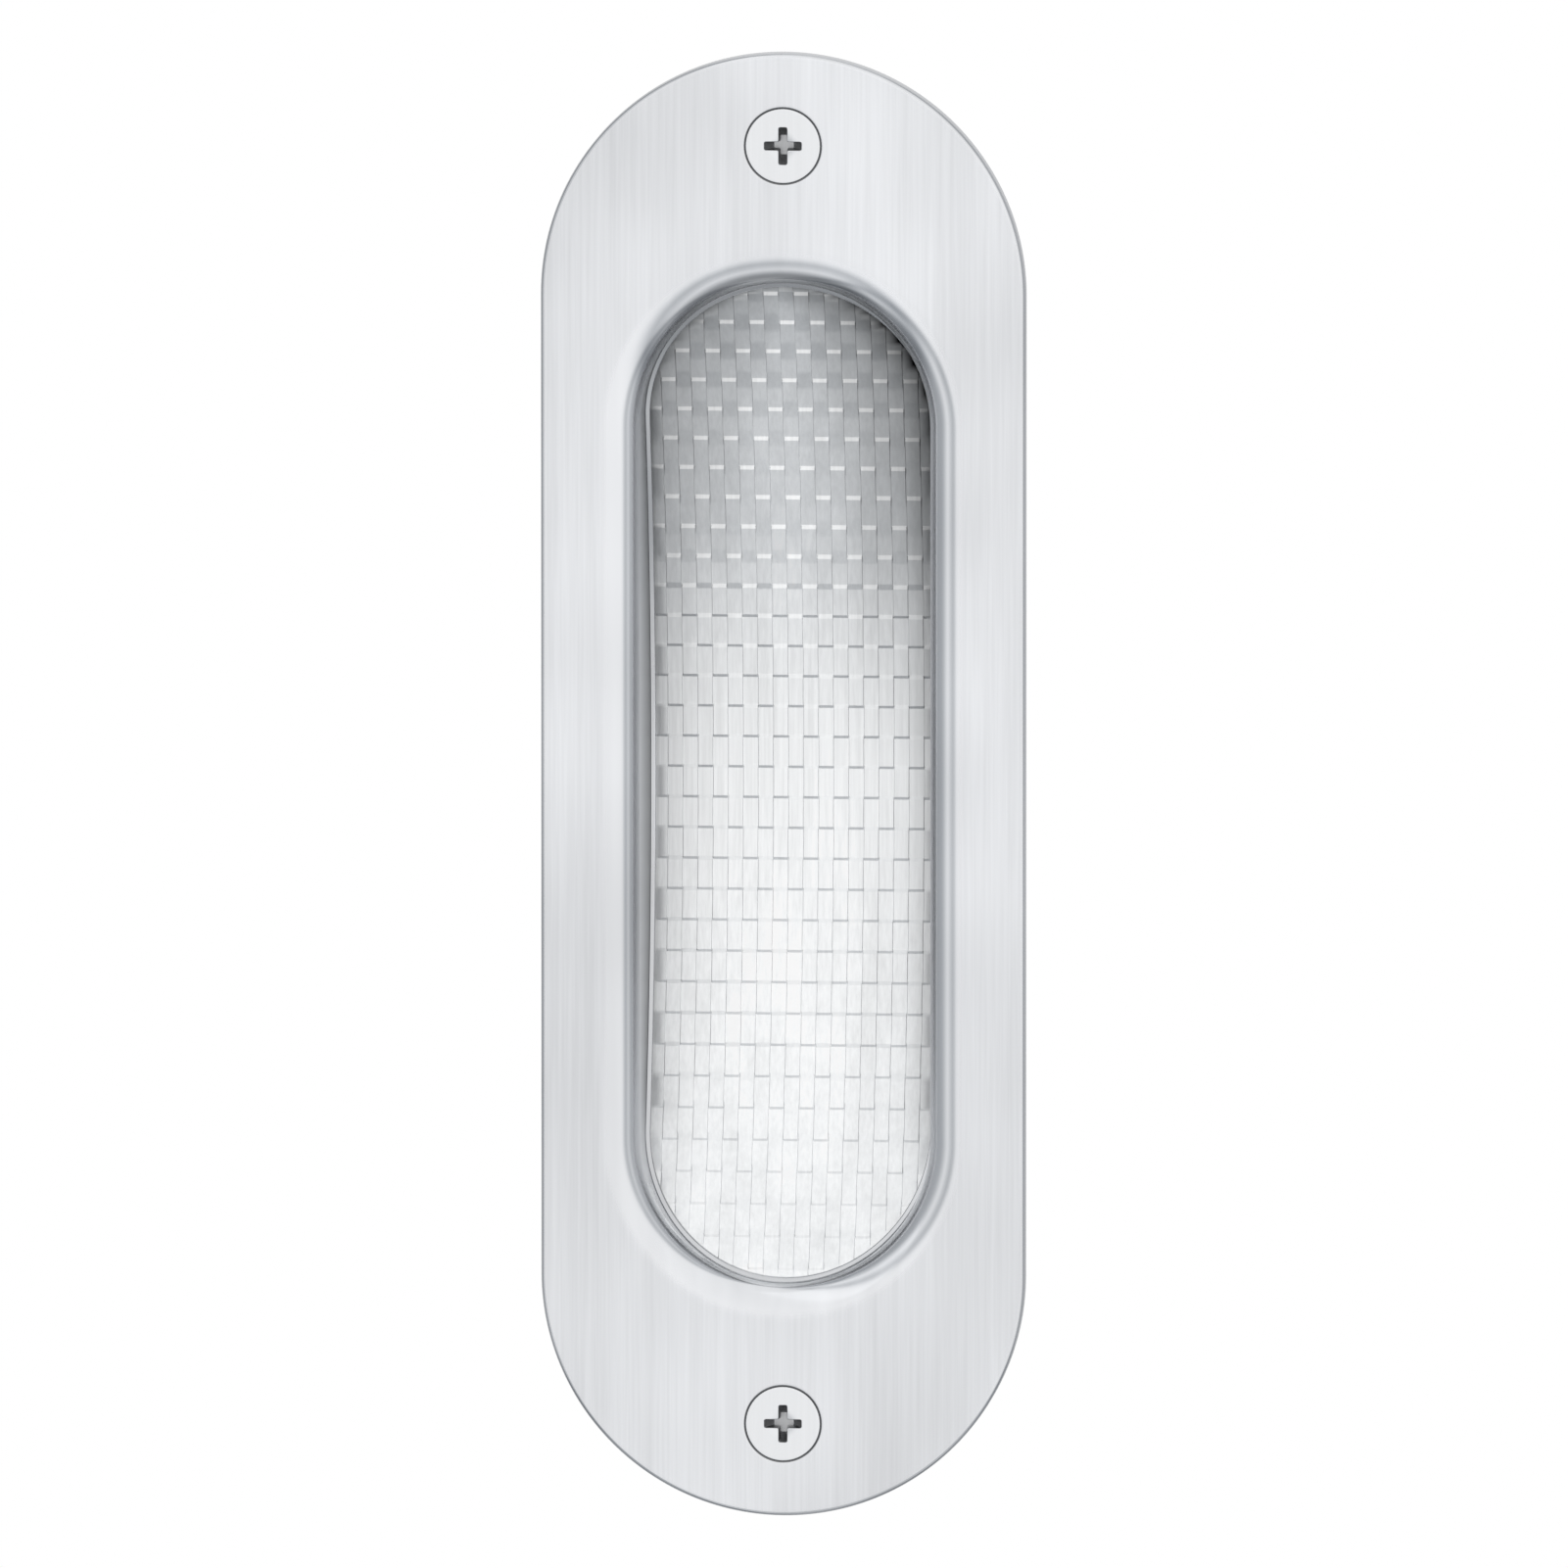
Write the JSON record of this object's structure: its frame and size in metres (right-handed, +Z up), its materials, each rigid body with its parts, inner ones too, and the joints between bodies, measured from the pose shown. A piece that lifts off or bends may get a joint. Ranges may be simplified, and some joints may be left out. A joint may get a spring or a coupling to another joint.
{
  "type": "pocket door pull",
  "caption": "Flush pull for a sliding pocket door: obround plate with a rolled rim, a scooped finger recess with a checkered grip, and countersunk wood screws.",
  "frame": {"origin": "middle of the flange's back face, midway between the screws, in the plane of the door's face", "axes": "+Y into the door, +Z up the plate's length, +X to the right of someone facing the pull"},
  "size_m": [0.04, 0.016, 0.1212],
  "materials": {
    "face_steel": "satin, brushed lengthwise",
    "grip_steel": "satin, coined checkers",
    "screw_steel": "satin"
  },
  "bodies": {
    "root": {"face_plate": "face_steel", "grip_plate": "grip_steel", "fixing_screws": "screw_steel"}
  },
  "joints": []
}
